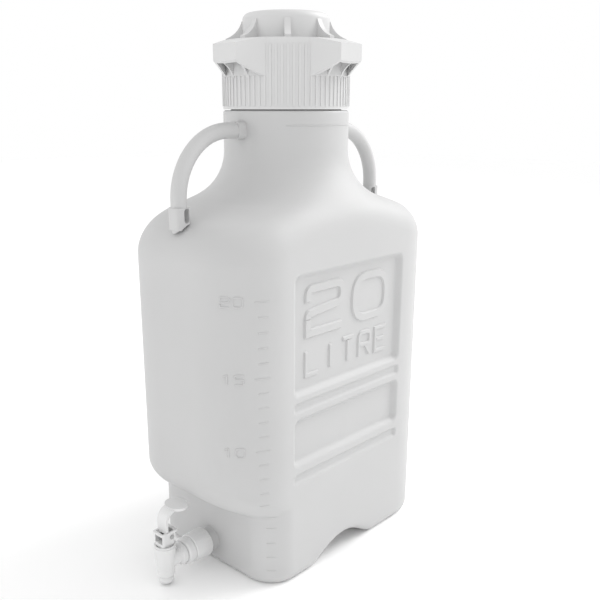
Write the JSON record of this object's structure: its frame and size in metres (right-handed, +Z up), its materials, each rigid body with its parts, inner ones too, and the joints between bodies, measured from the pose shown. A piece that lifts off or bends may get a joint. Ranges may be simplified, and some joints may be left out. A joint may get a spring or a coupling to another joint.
{
  "type": "carboy with spigot",
  "caption": "Tall square-shouldered plastic carboy with recessed side panels, two tube handles, a four-lobed screw cap and a lever tap at the lower front.",
  "frame": {"origin": "on the flat base, straight below the centre of the neck", "axes": "+Z up along the neck, -Y towards the tap, +X to the right when facing +Y"},
  "size_m": [0.2, 0.3771, 0.606],
  "materials": {
    "bottle_hdpe": "satin blow-moulded HDPE, slightly translucent white",
    "handle_plastic": "fine-textured white polypropylene",
    "cap_plastic": "satin white polypropylene",
    "tap_plastic": "semi-gloss white polypropylene",
    "pin_plastic": "grey acetal",
    "stem_plastic": "black acetal",
    "silicone": "translucent silicone",
    "dark_seal": "black rubber",
    "spring_steel": "stainless wire"
  },
  "bodies": {
    "carboy": {"bottle": "bottle_hdpe", "front_handle": "handle_plastic", "rear_handle": "handle_plastic", "spigot_gasket": "silicone", "spigot_nut": "tap_plastic", "spigot_retaining_ring": "tap_plastic", "spigot_body": "tap_plastic", "bonnet_seal": "dark_seal", "bonnet": "tap_plastic", "stem_seal": "silicone", "lever_pin": "pin_plastic", "return_spring": "spring_steel"},
    "cap_plug": {"cap_insert": "cap_plastic", "cap_gasket": "silicone"},
    "cap_ring": {"cap_collar": "cap_plastic"},
    "tap_lever": {"lever": "tap_plastic"},
    "valve": {"valve_stem": "stem_plastic", "seat_cup": "silicone"}
  },
  "joints": [
    {"name": "cap_lift", "type": "slide", "parent": "carboy", "child": "cap_plug", "axis": [0, 0, 1], "range_m": [0, 0.05]},
    {"name": "cap_turn", "type": "hinge", "parent": "cap_plug", "child": "cap_ring", "pos_m": [0, 0, 0.54], "axis": [0, 0, 1], "range_deg": [0, 2234.5]},
    {"name": "lever_press", "type": "hinge", "parent": "carboy", "child": "tap_lever", "pos_m": [0, -0.19, 0.06], "axis": [1, 0, 0], "range_deg": [-25, 0], "stiffness_Nm_per_rad": 0.05, "springref_deg": 20.05},
    {"name": "valve_lift", "type": "slide", "parent": "carboy", "child": "valve", "axis": [0, 0, 1], "range_m": [0, 0.0018], "deforming": ["return_spring"]}
  ],
  "couplings": [
    {"joint": "cap_lift", "follows": "cap_turn", "m_per_rad": 0.0012732},
    {"joint": "valve_lift", "follows": "lever_press", "m_per_rad": -0.004}
  ]
}
